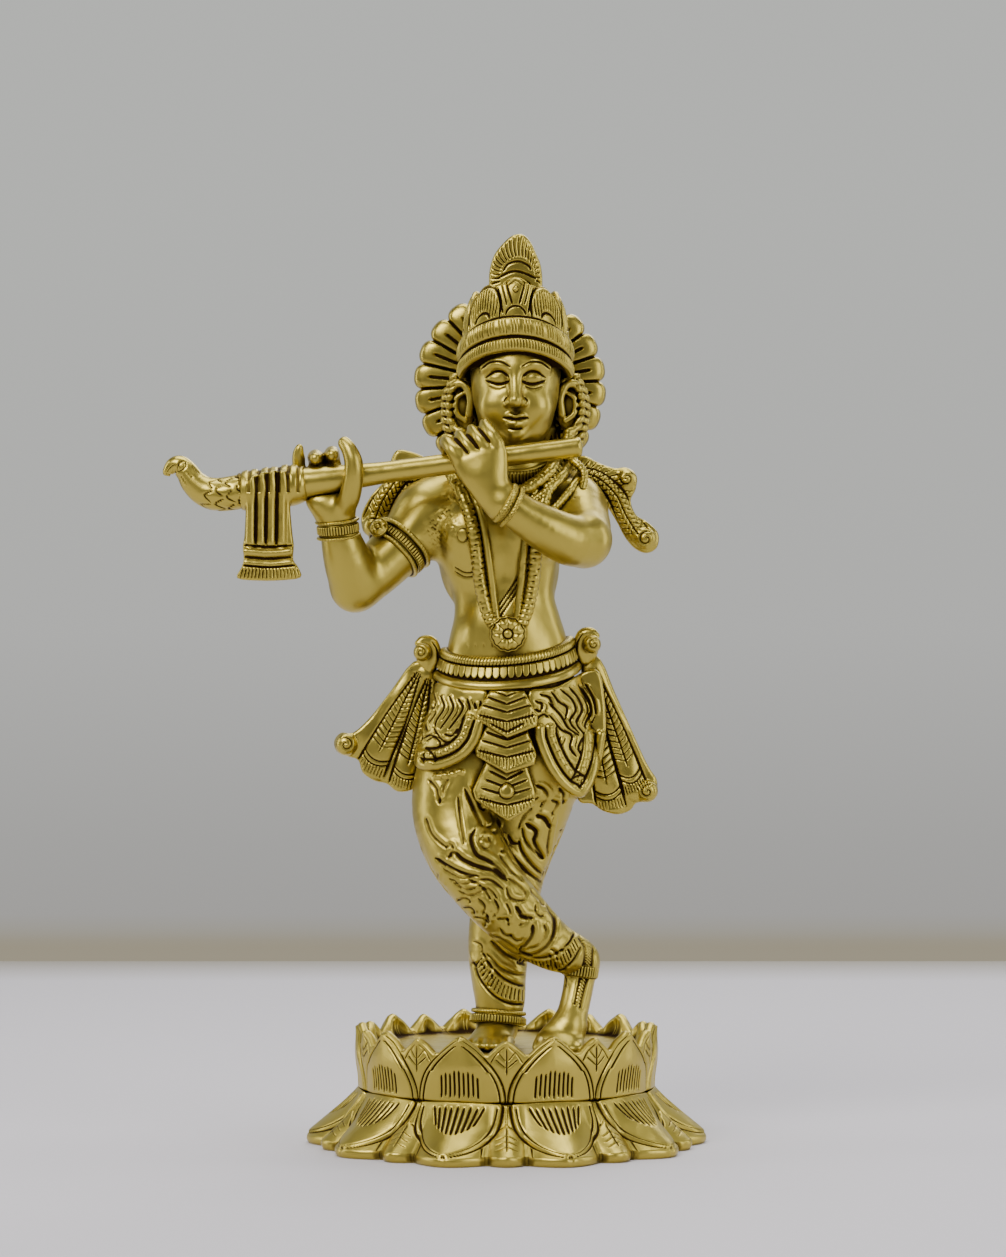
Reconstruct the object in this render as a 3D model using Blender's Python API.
"""Cast brass statuette of a flute-playing deity on a two-tier lotus base.

Every dimension below is in millimetres in the statue's own frame: the axis of the lotus base is
x = y = 0, the surface it stands on is z = 0, the figure faces -Y and +X is its left-hand side.
The last step moves everything so that the origin is the bottom centre of the bounding box.
"""

import math

import bmesh
import bpy
import numpy as np
from mathutils import Matrix, Vector

MM = 0.001
GAP = 0.3  # clearance between neighbouring castings

# Lotus base
PETALS = 10
PETAL_STEPS = 8  # angular steps in one petal pitch
SEAM_Z = 15.2
SEAM_RADIUS = 41.2
DECK_TOP_Z = 27.0
DECK_THICKNESS = 3.0
DECK_RADIUS = 37.0
BIG_TIP_Z = 33.6
SMALL_TIP_Z = 32.2
VALLEY_Z = 29.2
BIG_TIP_RADIUS = 55.9
SMALL_TIP_RADIUS = 53.6
VALLEY_RADIUS = 50.6
WALL = 3.0
FLANGE_INNER_RADIUS = 31.0

# Figure
WAIST_Z = 131.0
NECK_Z = 189.5
HEAD_CENTRE = (2.5, -2.0, 212.0)
HEAD_BACK_Y = 9.6
HALO_CENTRE = (1.0, 212.3)
HALO_RADIUS = 27.2
HALO_LOBES = 22
HALO_THICKNESS = 3.2
FOOT_Z = DECK_TOP_Z + GAP
STANDING_SOLE = (-3.0, -4.0)
CROSSED_SOLE = (15.5, -16.0)

# Flute
FLUTE_Y = -19.0
FLUTE_END = (21.0, 194.0)
FLUTE_TILT = math.radians(7.6)
FLUTE_BARREL = ((0.0, 2.75), (30.0, 2.85), (58.0, 3.1), (62.0, 3.3), (72.0, 4.1), (90.0, 4.8))

# Fixing screws
SCREW_RADIUS = 1.5
SCREW_HEAD_RADIUS = 3.0
SCREW_HEAD_HEIGHT = 2.4
SCREW_LENGTH = 7.0
SCREW_HOLE_RADIUS = SCREW_RADIUS + GAP


# ---------------------------------------------------------------------------------------------
# Tools
# ---------------------------------------------------------------------------------------------


def make_material(name, colour, roughness):
    material = bpy.data.materials.new(name)
    material.use_nodes = True
    shader = material.node_tree.nodes["Principled BSDF"]
    shader.inputs["Base Color"].default_value = (*colour, 1.0)
    shader.inputs["Metallic"].default_value = 1.0
    shader.inputs["Roughness"].default_value = roughness
    return material


def make_object(name, points, faces, material):
    """A closed mesh from points in millimetres, with its faces turned outwards."""
    mesh = bpy.data.meshes.new(name)
    mesh.from_pydata([Vector(p) * MM for p in points], [], faces)
    shape = bmesh.new()
    shape.from_mesh(mesh)
    bmesh.ops.recalc_face_normals(shape, faces=shape.faces)
    shape.to_mesh(mesh)
    shape.free()
    mesh.shade_smooth()
    mesh.set_sharp_from_angle(angle=math.radians(40))
    mesh.materials.append(material)
    obj = bpy.data.objects.new(name, mesh)
    bpy.context.scene.collection.objects.link(obj)
    return obj


def skin_rings(name, rings, material, closed=False):
    """Joins rings of equal length with quads. closed joins the last ring to the first, and
    otherwise each end is closed with a fan."""
    points = [p for ring in rings for p in ring]
    count = len(rings[0])
    bands = len(rings) if closed else len(rings) - 1
    faces = []
    for i in range(bands):
        lower, upper = i * count, (i + 1) % len(rings) * count
        for j in range(count):
            k = (j + 1) % count
            faces.append((lower + j, lower + k, upper + k, upper + j))
    if not closed:
        for first, ring in ((0, rings[0]), ((len(rings) - 1) * count, rings[-1])):
            points.append(sum((Vector(p) for p in ring), Vector()) / count)
            centre = len(points) - 1
            faces += [(first + j, first + (j + 1) % count, centre) for j in range(count)]
    return make_object(name, points, faces, material)


def stack(name, sections, material, sides=20, tilt=0.0):
    """Level elliptical sections (x, y, z, half width, half depth), leaning back by tilt degrees."""
    lean = math.tan(math.radians(tilt))
    rings = []
    for x, y, z, half_width, half_depth in sections:
        ring = []
        for k in range(sides):
            angle = math.tau * k / sides
            dy = half_depth * math.sin(angle)
            ring.append((x + half_width * math.cos(angle), y + dy, z - lean * dy))
        rings.append(ring)
    return skin_rings(name, rings, material)


def tube(name, stations, material, sides=12, across=(0, 1, 0), domed=(True, True)):
    """A limb: round or flattened sections (x, y, z, radius across[, radius the other way]) square
    to its path, closed with domes."""
    centres = [Vector(s[:3]) for s in stations]
    sizes = [(s[3], s[4] if len(s) > 4 else s[3]) for s in stations]
    tangents = []
    for i in range(len(centres)):
        ahead = centres[min(i + 1, len(centres) - 1)]
        behind = centres[max(i - 1, 0)]
        tangents.append((ahead - behind).normalized())
    sections = list(zip(centres, tangents, sizes))
    if domed[0]:
        sections[:0] = dome(centres[0], tangents[0], sizes[0], -1)[::-1]
    if domed[1]:
        sections += dome(centres[-1], tangents[-1], sizes[-1], 1)
    rings = []
    for centre, tangent, (ru, rv) in sections:
        u = (Vector(across) - tangent * tangent.dot(Vector(across))).normalized()
        v = tangent.cross(u)
        angles = [math.tau * k / sides for k in range(sides)]
        rings.append([centre + u * ru * math.cos(a) + v * rv * math.sin(a) for a in angles])
    return skin_rings(name, rings, material)


def dome(centre, tangent, size, direction):
    """The sections that round off a limb's end."""
    reach = min(size)
    steps = ((0.5, 0.866), (0.87, 0.5))
    return [
        (centre + tangent * direction * reach * out, tangent, (size[0] * s, size[1] * s))
        for out, s in steps
    ]


def slab(name, outline, near_y, far_y, material):
    """A plate with an (x, z) outline, between two depths."""
    rings = [[(x, y, z) for x, z in outline] for y in (near_y, far_y)]
    return skin_rings(name, rings, material)


def rounded(points, steps=3):
    """A closed Catmull-Rom curve through (x, z) points."""
    count = len(points)
    curve = []
    for i in range(count):
        a, b, c, d = (np.array(points[(i + k) % count], float) for k in (-1, 0, 1, 2))
        for k in range(steps):
            t = k / steps
            curve.append(
                tuple(
                    0.5
                    * (
                        2 * b
                        + (c - a) * t
                        + (2 * a - 5 * b + 4 * c - d) * t * t
                        + (3 * b - a - 3 * c + d) * t**3
                    )
                )
            )
    return curve


def largest_body(mesh):
    """Removes every loose crumb that a cut has left beside the main body."""
    shape = bmesh.new()
    shape.from_mesh(mesh)
    unseen, bodies = set(shape.verts), []
    while unseen:
        queue, body = [unseen.pop()], []
        while queue:
            vertex = queue.pop()
            body.append(vertex)
            for edge in vertex.link_edges:
                other = edge.other_vert(vertex)
                if other in unseen:
                    unseen.remove(other)
                    queue.append(other)
        bodies.append(body)
    bodies.sort(key=len)
    for body in bodies[:-1]:
        bmesh.ops.delete(shape, geom=body, context="VERTS")
    shape.to_mesh(mesh)
    shape.free()


def combine(target, tool, operation, keep_tool=False):
    """Applies one Boolean to target, in place."""
    step = target.modifiers.new(operation.title(), "BOOLEAN")
    step.operation = operation
    step.object = tool
    bpy.context.view_layer.update()
    graph = bpy.context.evaluated_depsgraph_get()
    mesh = bpy.data.meshes.new_from_object(target.evaluated_get(graph))
    target.modifiers.clear()
    target.data = mesh
    largest_body(mesh)
    if not keep_tool:
        bpy.data.objects.remove(tool)
    return target


def fuse(name, pieces):
    """One casting from overlapping shapes."""
    casting = pieces[0]
    for piece in pieces[1:]:
        combine(casting, piece, "UNION")
    casting.name = name
    return casting


def swollen(obj, offset):
    """A copy of obj with every face moved out by offset millimetres."""
    mesh = obj.data.copy()
    shape = bmesh.new()
    shape.from_mesh(mesh)
    bmesh.ops.remove_doubles(shape, verts=shape.verts, dist=0.02 * MM)
    for vertex in shape.verts:
        vertex.co += vertex.normal * min(vertex.calc_shell_factor(), 1.8) * offset * MM
    shape.to_mesh(mesh)
    shape.free()
    copy = bpy.data.objects.new(obj.name + "_swollen", mesh)
    bpy.context.scene.collection.objects.link(copy)
    return copy


def fit_round(target, *neighbours):
    """Cuts target back so that it seats on its neighbours with the usual gap."""
    for neighbour in neighbours:
        combine(target, swollen(neighbour, GAP * 1.15), "DIFFERENCE")
    return target


def cylinder(name, centre, bottom, top, radius, material, sides=16):
    sections = [(*centre, z, radius, radius) for z in (bottom, top)]
    return stack(name, sections, material, sides)


# ---------------------------------------------------------------------------------------------
# Lotus base
# ---------------------------------------------------------------------------------------------


def petal_blend(angle, valley, small_tip, big_tip, sharpness=1.4):
    """A value that runs from valley up to the tip of the petal at this angle from the front.
    Big petals are centred half a pitch from the front, and small ones stand between them."""
    pitch = math.tau / PETALS
    half_big = 0.32 * pitch
    from_big = abs((angle + pitch) % pitch - pitch / 2)
    if from_big < half_big:
        share, tip = from_big / half_big, big_tip
    else:
        share = (pitch / 2 - from_big) / (pitch / 2 - half_big)
        tip = small_tip
    return tip - (tip - valley) * share**sharpness


def petal_rings(profile_at):
    """Sections of a petalled ring. profile_at(angle) gives its (radius, z) outline."""
    count = PETALS * PETAL_STEPS
    rings = []
    for k in range(count):
        angle = math.tau * k / count
        out = Vector((math.sin(angle), -math.cos(angle), 0))
        rings.append([out * radius + Vector((0, 0, z)) for radius, z in profile_at(angle)])
    return rings


def make_lotus_skirt(material):
    """The lower tier: a flared ring of drooping petals, hollow underneath."""

    def profile(angle):
        rim = petal_blend(angle, VALLEY_RADIUS, SMALL_TIP_RADIUS, BIG_TIP_RADIUS)
        return (
            (FLANGE_INNER_RADIUS, SEAM_Z),
            (SEAM_RADIUS, SEAM_Z),
            (SEAM_RADIUS + 4.6, SEAM_Z - 5.2),
            (rim - 2.2, 4.4),
            (rim, 2.0),
            (rim - 0.5, 0.0),
            (rim - 3.5, 0.0),
            (rim - 2.2 - WALL, 2.2),
            (SEAM_RADIUS + 1.2, SEAM_Z - 6.2),
            (SEAM_RADIUS - WALL, SEAM_Z - WALL),
            (FLANGE_INNER_RADIUS, SEAM_Z - WALL),
        )

    return skin_rings("lotus_skirt", petal_rings(profile), material, closed=True)


def make_lotus_cup(material):
    """The upper tier: a drum whose wall rises in petals round the deck that the feet stand on."""
    deck_bottom = DECK_TOP_Z - DECK_THICKNESS

    def profile(angle):
        tip = petal_blend(angle, VALLEY_Z, SMALL_TIP_Z, BIG_TIP_Z)
        bulge = petal_blend(angle, 0.0, 0.5, 0.9)
        return (
            (0.01, DECK_TOP_Z),
            (DECK_RADIUS, DECK_TOP_Z),
            (DECK_RADIUS + 1.4, DECK_TOP_Z + 0.8),
            (DECK_RADIUS + 3.0, tip - 0.6),
            (SEAM_RADIUS + 0.5, tip),
            (SEAM_RADIUS + 1.0, tip - 1.6),
            (SEAM_RADIUS + 0.2 + bulge, SEAM_Z + 8.0),
            (SEAM_RADIUS, SEAM_Z + GAP),
            (SEAM_RADIUS - WALL, SEAM_Z + GAP),
            (SEAM_RADIUS - WALL, deck_bottom - 1.5),
            (SEAM_RADIUS - WALL - 1.5, deck_bottom),
            (0.01, deck_bottom),
        )

    columns = petal_rings(profile)
    rings = [[column[k] for column in columns] for k in range(len(columns[0]))]
    cup = skin_rings("lotus_cup", rings, material)
    for centre in (STANDING_SOLE, CROSSED_SOLE):
        drill(cup, centre, deck_bottom - 1, DECK_TOP_Z + 1, material)
    return cup


def drill(target, centre, bottom, top, material):
    """A screw hole."""
    bit = cylinder("drill_bit", centre, bottom, top, SCREW_HOLE_RADIUS, material, 12)
    return combine(target, bit, "DIFFERENCE")


def make_foot_screw(name, centre, material):
    """A cheese-head screw that holds a foot down from under the deck."""
    seat = DECK_TOP_Z - DECK_THICKNESS - GAP
    sections = (
        (seat - SCREW_HEAD_HEIGHT, SCREW_HEAD_RADIUS - 0.4),
        (seat - SCREW_HEAD_HEIGHT + 0.4, SCREW_HEAD_RADIUS),
        (seat, SCREW_HEAD_RADIUS),
        (seat, SCREW_RADIUS),
        (seat + SCREW_LENGTH - 0.6, SCREW_RADIUS),
        (seat + SCREW_LENGTH, SCREW_RADIUS - 0.6),
    )
    screw = stack(name, [(*centre, z, r, r) for z, r in sections], material, 16)
    slot_z = seat - SCREW_HEAD_HEIGHT
    x, y = centre
    outline = [(x - 4, slot_z - 1), (x + 4, slot_z - 1), (x + 4, slot_z + 1), (x - 4, slot_z + 1)]
    slot = slab("slot_cutter", outline, y - 0.4, y + 0.4, material)
    return combine(screw, slot, "DIFFERENCE")


# ---------------------------------------------------------------------------------------------
# Figure
# ---------------------------------------------------------------------------------------------


def make_legs(material):
    """Both legs and the hips in the wrapped cloth: one casting from the waist to the soles."""
    hips = stack(
        "hips",
        (
            (-0.2, 0.0, WAIST_Z - GAP, 17.6, 12.4),
            (0.2, 0.0, 126.0, 19.4, 14.0),
            (0.6, 0.0, 118.0, 21.2, 15.2),
            (0.4, 0.0, 108.0, 21.6, 15.2),
            (-1.2, 0.0, 99.0, 20.0, 13.8),
            (-2.4, -0.5, 92.0, 17.2, 11.6),
        ),
        material,
    )
    standing_leg = tube(
        "standing_leg",
        (
            (9.0, 1.0, 104.0, 12.0),
            (5.7, 2.0, 92.9, 12.0),
            (2.9, 2.0, 81.7, 10.4),
            (0.6, 2.0, 73.3, 9.6),
            (-1.2, 2.0, 62.0, 8.8),
            (-2.4, 2.0, 50.8, 8.0),
            (-2.0, 1.0, 39.7, 6.4),
            (-2.0, 0.5, 33.5, 5.4),
        ),
        material,
        14,
    )
    standing_foot = tube(
        "standing_foot",
        (
            (-2.0, 3.0, 30.8, 4.6, 5.0),
            (-2.8, -5.0, 30.4, 4.2, 5.2),
            (-4.4, -13.0, 28.6, 2.6, 5.8),
            (-5.0, -16.5, 28.0, 1.8, 5.6),
        ),
        material,
        12,
        across=(0, 0, 1),
    )
    crossed_leg = tube(
        "crossed_leg",
        (
            (-10.5, -1.0, 108.0, 11.8),
            (-14.0, -3.0, 96.0, 11.8),
            (-11.3, -8.0, 82.2, 11.2),
            (-4.6, -12.0, 72.8, 9.8),
            (3.7, -13.0, 63.1, 8.6),
            (12.0, -12.0, 56.3, 6.6),
            (20.0, -10.0, 53.0, 5.2),
        ),
        material,
        14,
    )
    crossed_foot = tube(
        "crossed_foot",
        (
            (21.0, -8.0, 53.0, 4.6, 5.0),
            (19.6, -9.5, 44.8, 4.4, 4.6),
            (18.8, -11.5, 38.9, 4.4, 4.0),
            (16.6, -14.5, 32.8, 4.8, 4.4),
            (13.0, -18.0, 29.6, 5.0, 3.0),
            (9.6, -20.5, 28.6, 4.2, 1.8),
        ),
        material,
        12,
    )
    legs = fuse("legs", [hips, standing_leg, crossed_leg, standing_foot, crossed_foot])
    box = [(-60, FOOT_Z), (60, FOOT_Z), (60, 0), (-60, 0)]
    combine(legs, slab("sole_plane", box, -60, 60, material), "DIFFERENCE")
    screw_top = DECK_TOP_Z - DECK_THICKNESS + SCREW_LENGTH + 0.4
    for centre in (STANDING_SOLE, CROSSED_SOLE):
        drill(legs, centre, DECK_TOP_Z - 1, screw_top, material)
    return legs


TORSO_SECTIONS = (
    (0.2, 0.0, WAIST_Z, 17.8, 12.4),
    (0.4, 0.0, 137.0, 17.2, 11.8),
    (0.4, 0.0, 142.0, 16.2, 11.2),
    (0.0, 0.0, 148.0, 14.7, 10.6),
    (-0.8, 0.0, 153.4, 14.1, 10.4),
    (-1.8, 0.0, 159.4, 15.8, 11.4),
    (-2.2, -0.4, 166.0, 17.8, 12.6),
    (-1.0, -0.4, 173.0, 19.4, 12.8),
    (1.0, 0.4, 181.0, 18.4, 11.2),
    (2.0, 0.2, 185.5, 13.4, 8.8),
    (2.3, 1.0, NECK_Z, 8.0, 7.6),
)


def torso_front(x, z):
    """The depth of the torso's front surface at (x, z)."""
    cx, cy, rx, ry = (
        np.interp(z, [s[2] for s in TORSO_SECTIONS], [s[k] for s in TORSO_SECTIONS])
        for k in (0, 1, 3, 4)
    )
    share = min(abs((x - cx) / rx), 0.95)
    return float(cy - ry * math.sqrt(1 - share * share))


def make_head(material):
    """The head with its neck and ears. Its back is flat, where the halo lies against it."""
    x, y, z = HEAD_CENTRE
    skull = stack(
        "skull",
        (
            (2.3, 1.0, NECK_Z + GAP, 7.0, 7.0),
            (2.4, 0.0, 194.0, 7.0, 7.6),
            (x, y, 196.5, 8.6, 10.6),
            (x, y, 201.0, 11.0, 13.0),
            (x, y, 206.0, 12.2, 14.0),
            (x, y, z, 12.7, 14.4),
            (x, y, 218.0, 12.8, 14.4),
            (x, y, 225.0, 11.8, 13.2),
            (x, y, 230.0, 9.4, 10.6),
            (x, y, 233.5, 5.0, 6.0),
        ),
        material,
    )
    nose = tube(
        "nose",
        ((x, y - 13.4, 211.5, 1.1), (x, y - 15.2, 206.0, 1.7), (x, y - 14.4, 204.4, 1.8)),
        material,
        8,
    )
    ears = [
        tube(
            "ear",
            (
                (x + side * 14.0, y + 3.5, 211.0, 1.8, 2.6),
                (x + side * 15.0, y + 3.5, 206.0, 2.2, 3.0),
                (x + side * 14.0, y + 2.5, 200.5, 1.6, 2.0),
            ),
            material,
            8,
            across=(0, 1, 0),
        )
        for side in (-1, 1)
    ]
    head = fuse("head", [skull, nose, *ears])
    box = [(-40, 180), (40, 180), (40, 250), (-40, 250)]
    return combine(head, slab("back_plane", box, HEAD_BACK_Y, 40, material), "DIFFERENCE")


def make_crown(head, material):
    """A domed cap crown with a broad band, tilted up at the front."""
    x = HEAD_CENTRE[0]
    crown = stack(
        "crown",
        (
            (x, -2.0, 216.6, 15.0, 15.0),
            (x, -2.0, 217.6, 16.6, 16.2),
            (x, -2.0, 221.0, 17.0, 16.6),
            (x, -2.0, 226.5, 16.8, 16.2),
            (x, -2.2, 231.5, 14.6, 13.8),
            (x, -2.6, 236.0, 10.4, 9.6),
            (x, -3.0, 239.2, 5.6, 5.2),
        ),
        material,
        24,
        tilt=15.0,
    )
    fit_round(crown, head)
    box = [(-40, 180), (40, 180), (40, 260), (-40, 260)]
    return combine(crown, slab("back_plane", box, HEAD_BACK_Y, 40, material), "DIFFERENCE")


def make_feather(crown, material):
    """The upright plume at the front of the crown."""
    outline = rounded(
        [
            (-4.6, 236.0),
            (-5.0, 241.0),
            (-3.4, 247.5),
            (1.4, 252.6),
            (5.6, 252.8),
            (8.6, 247.0),
            (9.8, 240.5),
            (8.6, 236.0),
            (2.5, 234.0),
        ]
    )
    return fit_round(slab("peacock_feather", outline, -7.6, -3.8, material), crown)


def make_halo(material):
    """A lobed fan plate behind the head."""
    outline = []
    steps = 6
    for k in range(HALO_LOBES * steps):
        angle = math.tau * k / (HALO_LOBES * steps)
        lobe = abs(math.sin(angle * HALO_LOBES / 2))
        radius = HALO_RADIUS - 2.6 + 2.6 * lobe**0.6
        outline.append(
            (
                HALO_CENTRE[0] + radius * math.sin(angle),
                HALO_CENTRE[1] + radius * math.cos(angle),
            )
        )
    near = HEAD_BACK_Y + GAP
    return slab("halo", outline, near, near + HALO_THICKNESS, material)


def make_right_arm(neighbours, material):
    """The figure's right arm. Its thumb lies before the flute and its fingers behind it."""
    upper = tube(
        "upper_arm",
        (
            (-18.6, 1.0, 178.0, 8.6),
            (-24.5, -1.0, 172.0, 8.3),
            (-31.7, -4.0, 164.6, 7.9),
            (-40.4, -8.0, 156.4, 7.0),
        ),
        material,
    )
    forearm = tube(
        "forearm",
        (
            (-41.4, -8.6, 155.8, 7.4),
            (-43.9, -12.0, 161.9, 6.8),
            (-45.7, -15.0, 167.4, 5.6),
            (-46.8, -16.6, 171.8, 4.9),
            (-47.6, -16.8, 176.4, 4.8),
        ),
        material,
    )
    palm = tube(
        "palm",
        ((-48.0, -16.4, 178.0, 3.4, 6.2), (-49.6, -14.4, 184.0, 2.8, 7.0)),
        material,
    )
    thumb = tube(
        "thumb",
        (
            (-46.0, -20.0, 178.6, 2.8),
            (-42.2, -24.8, 183.4, 2.7),
            (-41.8, -25.6, 189.4, 2.5),
            (-43.6, -24.6, 194.0, 1.8),
        ),
        material,
        10,
    )
    fingers = [
        tube("finger", path, material, 8)
        for path in (
            ((-44.0, -13.6, 185.0, 2.4), (-46.0, -13.6, 190.6, 2.2), (-54.0, -14.2, 190.4, 1.9)),
            ((-52.4, -13.4, 182.0, 2.2), (-54.8, -13.0, 186.6, 2.0), (-55.4, -14.4, 191.6, 1.6)),
        )
    ]
    arm = fuse("right_arm", [upper, forearm, palm, thumb, *fingers])
    return fit_round(arm, *neighbours)


def make_left_arm(neighbours, material):
    """The figure's left arm, across the chest, with its fingers over the top of the flute."""
    upper = tube(
        "upper_arm",
        (
            (18.0, 2.5, 178.6, 8.4),
            (20.6, -6.0, 173.4, 8.0),
            (21.2, -14.0, 168.6, 7.3),
        ),
        material,
    )
    forearm = tube(
        "forearm",
        (
            (21.2, -15.0, 168.0, 7.3),
            (17.0, -19.0, 168.2, 7.0),
            (11.4, -22.0, 170.8, 6.3),
            (5.2, -24.0, 174.4, 5.4),
            (-0.5, -25.4, 178.4, 4.6),
            (-3.0, -25.8, 181.4, 4.4, 4.8),
        ),
        material,
    )
    back_of_hand = tube(
        "back_of_hand",
        (
            (-2.6, -25.8, 181.6, 3.4, 5.4),
            (-5.4, -26.6, 186.6, 3.0, 6.8),
            (-7.8, -25.8, 191.4, 2.6, 7.6),
        ),
        material,
        14,
    )
    fingers = []
    for k in range(4):
        x = -14.2 + 3.9 * k
        top = 195.6 + 0.6 * k
        path = (
            (x + 0.8, -25.2, top - 3.4, 1.9),
            (x, -21.6, top, 1.9),
            (x - 1.2, -17.8, top - 0.6, 1.7),
        )
        fingers.append(tube("finger", path, material, 8))
    arm = fuse("left_arm", [upper, forearm, back_of_hand, *fingers])
    return fit_round(arm, *neighbours)


def make_band(name, centre, axis, inner, outer, width, neighbours, material, sides=16):
    """A ring round a limb: bracelet, armlet or anklet."""
    axis = Vector(axis).normalized()
    turn = Vector((0, 0, 1)).rotation_difference(axis).to_matrix()
    profile = (
        (inner, -width / 2),
        (outer - 0.5, -width / 2),
        (outer, -width / 4),
        (outer, width / 4),
        (outer - 0.5, width / 2),
        (inner, width / 2),
    )
    rings = []
    for k in range(sides):
        angle = math.tau * k / sides
        out = Vector((math.cos(angle), math.sin(angle), 0))
        rings.append(
            [Vector(centre) + turn @ (out * r + Vector((0, 0, h))) for r, h in profile]
        )
    return fit_round(skin_rings(name, rings, material, closed=True), *neighbours)


# ---------------------------------------------------------------------------------------------
# Dress and ornaments
# ---------------------------------------------------------------------------------------------


def make_belt(torso, legs, material):
    """The three-band belt that hides the waist joint, lower at the front."""
    sections = (
        (0.3, -0.3, 124.6, 20.6, 15.2),
        (0.3, -0.3, 127.6, 21.2, 15.8),
        (0.3, -0.3, 129.6, 20.4, 15.0),
        (0.3, -0.3, 133.4, 19.8, 14.6),
        (0.0, -0.3, 135.6, 19.6, 14.4),
        (0.0, -0.3, 137.4, 17.6, 12.6),
    )
    belt = stack("belt", sections, material, 24, tilt=-8.0)
    return fit_round(belt, torso, legs)


def make_front_sash(legs, belt, material):
    """The pleated cloth that hangs in tiers down the front."""
    tiers = (
        (0.6, 124.6, 3.0, 4.6),
        (0.4, 117.0, 4.2, 8.4),
        (0.2, 114.0, 3.0, 5.6),
        (0.0, 107.6, 3.6, 8.8),
        (-0.4, 104.4, 3.0, 5.4),
        (-0.8, 97.4, 3.6, 8.6),
        (-0.4, 91.0, 2.4, 4.4),
    )
    path = [(x, -14.8, z, depth, width) for x, z, depth, width in tiers]
    sash = tube("front_sash", path, material, 12, domed=(False, False))
    return fit_round(sash, legs, belt)


def make_hip_drape(name, outline, legs, belt, sash, material):
    """A swag of cloth that lies on one hip."""
    drape = slab(name, rounded(outline), -26.0, -0.5, material)
    combine(drape, swollen(legs, 2.2), "INTERSECT")
    return fit_round(drape, legs, belt, sash)


def make_side_panel(name, outline, near_y, neighbours, material):
    """A flared sash end that stands out from one hip."""
    panel = slab(name, rounded(outline), near_y, near_y + 3.4, material)
    return fit_round(panel, *neighbours)


def make_hip_knot(name, centre, radius, neighbours, material):
    """The rolled knot where a side panel is tied at the belt."""
    x, y, z = centre
    knot = tube(
        name,
        ((x, y - 2.2, z, radius), (x, y + 2.2, z, radius)),
        material,
        12,
        across=(0, 0, 1),
    )
    return fit_round(knot, *neighbours)


def make_shawl_end(name, outline, near_y, neighbours, material):
    """A shawl end that stands out behind one shoulder."""
    end = slab(name, rounded(outline), near_y, near_y + 3.0, material)
    return fit_round(end, *neighbours)


GARLAND_PATH = (
    (-15.6, 186.4),
    (-15.4, 180.0),
    (-11.6, 172.0),
    (-8.6, 163.0),
    (-7.2, 154.5),
    (-4.6, 146.5),
    (0.4, 142.6),
    (5.4, 146.5),
    (7.8, 154.5),
    (9.0, 163.0),
    (11.2, 173.0),
    (14.4, 181.0),
    (15.0, 185.6),
)


def make_garland(torso, material):
    """The long double chain that hangs round the neck to the waist."""
    stations = [(x, torso_front(x, z) - 0.4, z, 1.5, 2.2) for x, z in GARLAND_PATH]
    return fit_round(tube("garland", stations, material, 10), torso)


def make_medallion(torso, belt, garland, material):
    """The round pendant at the foot of the garland."""
    x, z = 0.4, 141.4
    y = torso_front(x, z)
    disc = tube(
        "medallion",
        ((x, y - 4.4, z, 4.2), (x, y - 3.6, z, 4.9), (x, y + 3.0, z, 4.9)),
        material,
        18,
        across=(0, 0, 1),
        domed=(False, False),
    )
    return fit_round(disc, torso, belt, garland)


def make_collar(torso, head, garland, material):
    """The short ribbed necklace that hides the neck joint."""
    sections = (
        (2.2, -2.2, 186.6, 11.0, 10.2),
        (2.2, -2.2, 187.8, 11.6, 10.8),
        (2.2, -1.4, 190.4, 10.6, 9.8),
        (2.2, -0.8, 192.0, 9.2, 8.6),
    )
    collar = stack("collar", sections, material, 20, tilt=-12.0)
    return fit_round(collar, torso, head, garland)


# ---------------------------------------------------------------------------------------------
# Flute
# ---------------------------------------------------------------------------------------------


def flute_point(distance):
    """The flute's centre line at this distance from its plain end."""
    return (
        FLUTE_END[0] - distance * math.cos(FLUTE_TILT),
        FLUTE_Y,
        FLUTE_END[1] - distance * math.sin(FLUTE_TILT),
    )


def make_flute(material):
    """A tapered flute that ends in a bird's head with a turned-down beak."""
    barrel = [(*flute_point(d), r) for d, r in FLUTE_BARREL]
    head = (
        (-75.5, FLUTE_Y, 180.9, 4.8),
        (-82.5, FLUTE_Y, 180.9, 4.3),
        (-86.8, FLUTE_Y, 184.0, 3.5),
        (-88.6, FLUTE_Y, 188.0, 3.0),
        (-91.4, FLUTE_Y, 189.8, 2.4),
        (-93.4, FLUTE_Y, 188.0, 1.5),
    )
    return tube("flute", [*barrel, *head], material, 14)


def make_flute_cloth(flute, material):
    """The folded cloth with a fringed end that hangs over the flute."""
    outline = (
        (-71.4, 187.6),
        (-58.6, 189.4),
        (-58.4, 184.0),
        (-60.4, 174.0),
        (-59.6, 166.6),
        (-57.8, 162.6),
        (-55.8, 158.4),
        (-56.4, 157.2),
        (-73.6, 156.8),
        (-74.0, 158.4),
        (-72.4, 162.6),
        (-72.8, 167.0),
        (-71.2, 176.0),
    )
    cloth = slab("flute_cloth", outline, FLUTE_Y - 6.2, FLUTE_Y + 5.6, material)
    hollow = [(-90, 150), (-40, 150), (-40, 184.4), (-90, 182.2)]
    combine(cloth, slab("underside", hollow, FLUTE_Y - 3.8, 10, material), "DIFFERENCE")
    return fit_round(cloth, flute)


# ---------------------------------------------------------------------------------------------
# Assembly
# ---------------------------------------------------------------------------------------------

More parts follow.
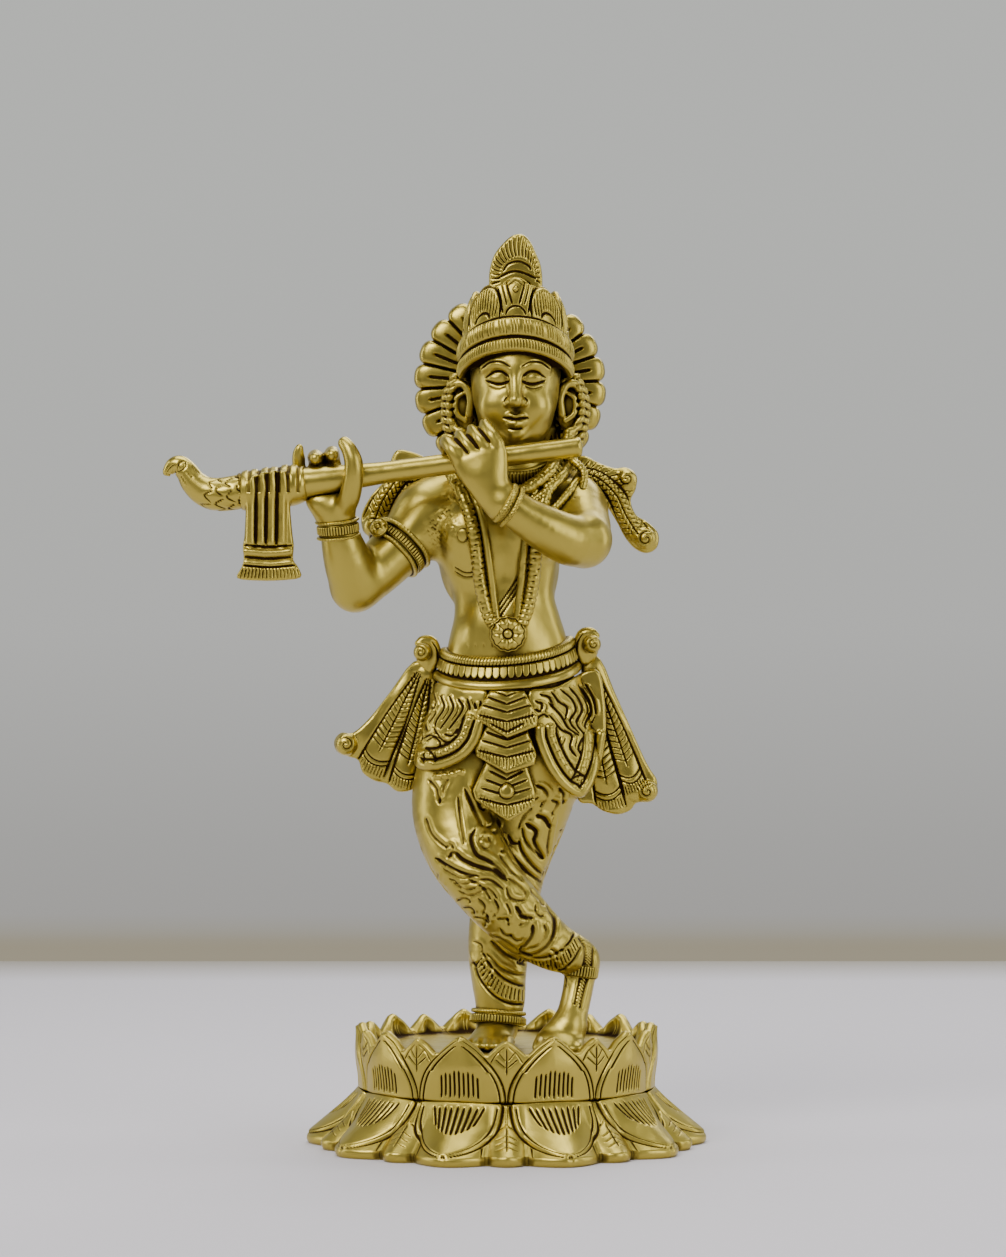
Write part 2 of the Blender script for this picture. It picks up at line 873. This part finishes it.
RIGHT_DRAPE = [(-20.5, 128), (-8.4, 126), (-7.4, 118), (-8.6, 112), (-14, 107), (-21, 104.6), (-26, 106)]
LEFT_DRAPE = [(8.8, 126), (22, 130), (26, 122), (25.6, 110), (21.5, 98.6), (15.4, 100.4), (10, 108)]
RIGHT_PANEL = [
    (-19.4, 131.4),
    (-24.8, 132.4),
    (-33.4, 122.0),
    (-41.4, 113.0),
    (-47.4, 114.0),
    (-50.0, 109.4),
    (-47.2, 105.2),
    (-42.4, 102.6),
    (-35.6, 99.4),
    (-28.4, 96.8),
    (-23.6, 99.0),
    (-18.0, 112.0),
]
LEFT_PANEL = [
    (20.0, 134.4),
    (25.6, 134.2),
    (31.4, 121.0),
    (37.6, 107.0),
    (42.4, 102.6),
    (42.0, 97.4),
    (37.6, 94.0),
    (31.4, 91.0),
    (26.0, 93.0),
    (20.6, 94.2),
    (19.0, 104.0),
    (18.6, 120.0),
]
RIGHT_SHAWL = [(-19.0, 190.0), (-27.2, 194.0), (-32.4, 193.0), (-35.0, 186.0), (-40.8, 178.0),
               (-40.6, 170.0), (-34.6, 169.6), (-29.6, 178.0), (-20.0, 184.0)]
LEFT_SHAWL = [(17.0, 190.0), (24.0, 193.0), (30.0, 191.4), (36.6, 189.6), (38.4, 184.6),
              (38.0, 178.0), (42.4, 172.4), (42.0, 166.0), (36.2, 166.6), (31.4, 176.0), (22.0, 184.4)]


def clear_scene():
    for obj in list(bpy.data.objects):
        bpy.data.objects.remove(obj)


def set_pivot(obj, point, z_axis=(0, 0, 1)):
    """Gives obj its own origin at point, with its local Z along z_axis. Its shape stays in place."""
    turn = Vector((0, 0, 1)).rotation_difference(Vector(z_axis))
    place = Matrix.Translation(Vector(point) * MM) @ turn.to_matrix().to_4x4()
    obj.data.transform(place.inverted())
    obj.matrix_local = place @ obj.matrix_local
    bpy.context.view_layer.update()


def centre_of(obj):
    corners = [Vector(corner) for corner in obj.bound_box]
    return sum(corners, Vector()) / len(corners) / MM


def set_origin(objects):
    """Parents every piece to one empty, placed so that the bounding box stands centred on z = 0."""
    corners = np.array([obj.matrix_world @ v.co for obj in objects for v in obj.data.vertices])
    low, high = corners.min(axis=0), corners.max(axis=0)
    frame = bpy.data.objects.new("statue_frame", None)
    bpy.context.scene.collection.objects.link(frame)
    frame.location = (-(low[0] + high[0]) / 2, -(low[1] + high[1]) / 2, -low[2])
    for obj in objects:
        obj.parent = frame


def main():
    clear_scene()
    body_brass = make_material("body_brass", (0.60, 0.46, 0.17), 0.30)
    base_brass = make_material("base_brass", (0.58, 0.46, 0.18), 0.34)
    trim_brass = make_material("trim_brass", (0.52, 0.40, 0.15), 0.38)
    flute_brass = make_material("flute_brass", (0.62, 0.49, 0.19), 0.30)
    screw_steel = make_material("screw_steel", (0.55, 0.55, 0.56), 0.35)

    skirt = make_lotus_skirt(base_brass)
    cup = make_lotus_cup(base_brass)
    screws = [
        make_foot_screw("foot_screw_standing", STANDING_SOLE, screw_steel),
        make_foot_screw("foot_screw_crossed", CROSSED_SOLE, screw_steel),
    ]
    legs = make_legs(body_brass)
    torso = stack("torso", TORSO_SECTIONS, body_brass)
    head = make_head(body_brass)
    crown = make_crown(head, trim_brass)
    feather = make_feather(crown, trim_brass)
    halo = make_halo(trim_brass)
    flute = make_flute(flute_brass)
    cloth = make_flute_cloth(flute, flute_brass)
    garland = make_garland(torso, trim_brass)
    right_arm = make_right_arm([torso, flute, garland], body_brass)
    left_arm = make_left_arm([torso, flute, garland], body_brass)
    bands = [
        make_band("right_bracelet", (-46.9, -16.6, 173.0), (-0.2, -0.2, 1.0), 4.0, 6.6, 4.4,
                  [right_arm], trim_brass),
        make_band("left_bracelet", (0.6, -25.2, 177.8), (-0.8, -0.15, 0.55), 3.8, 6.2, 4.4,
                  [left_arm], trim_brass),
        make_band("right_armlet", (-30.6, -3.6, 165.6), (-0.66, -0.3, -0.7), 6.8, 9.4, 4.6,
                  [right_arm], trim_brass),
        make_band("standing_anklet", (-2.0, 0.6, 35.0), (0, 0, 1), 4.6, 7.0, 3.6,
                  [legs], trim_brass),
        make_band("crossed_anklet", (20.2, -8.8, 49.0), (0.15, 0.1, 1.0), 3.6, 6.4, 3.4,
                  [legs], trim_brass),
    ]
    belt = make_belt(torso, legs, trim_brass)
    sash = make_front_sash(legs, belt, trim_brass)
    drapes = [
        make_hip_drape("right_hip_drape", RIGHT_DRAPE, legs, belt, sash, trim_brass),
        make_hip_drape("left_hip_drape", LEFT_DRAPE, legs, belt, sash, trim_brass),
    ]
    knots = [
        make_hip_knot("right_hip_knot", (-22.9, -1.0, 136.8), 4.2, [belt, torso], trim_brass),
        make_hip_knot("left_hip_knot", (22.6, -1.0, 139.0), 3.8, [belt, torso], trim_brass),
    ]
    panels = [
        make_side_panel("right_side_panel", RIGHT_PANEL, 0.6, [legs, belt, knots[0], drapes[0]], trim_brass),
        make_side_panel("left_side_panel", LEFT_PANEL, 0.6, [legs, belt, knots[1], drapes[1]], trim_brass),
    ]
    medallion = make_medallion(torso, belt, garland, trim_brass)
    collar = make_collar(torso, head, garland, trim_brass)
    shawl_ends = [
        make_shawl_end("right_shawl_end", RIGHT_SHAWL, 5.0, [torso, right_arm, collar], trim_brass),
        make_shawl_end("left_shawl_end", LEFT_SHAWL, 5.0, [torso, left_arm, collar], trim_brass),
    ]
    flute_axis = Vector(flute_point(1)) - Vector(flute_point(0))
    for piece in (flute, cloth):
        set_pivot(piece, flute_point(0), flute_axis)
    base = [skirt, cup, *screws]
    figure = [torso, head, crown, feather, halo, right_arm, left_arm, *bands, belt, sash, *drapes,
              *knots, *panels, medallion, garland, collar, *shawl_ends]
    for piece in (*figure, *screws):
        set_pivot(piece, centre_of(piece))
    set_origin([*base, legs, *figure, flute, cloth])


main()
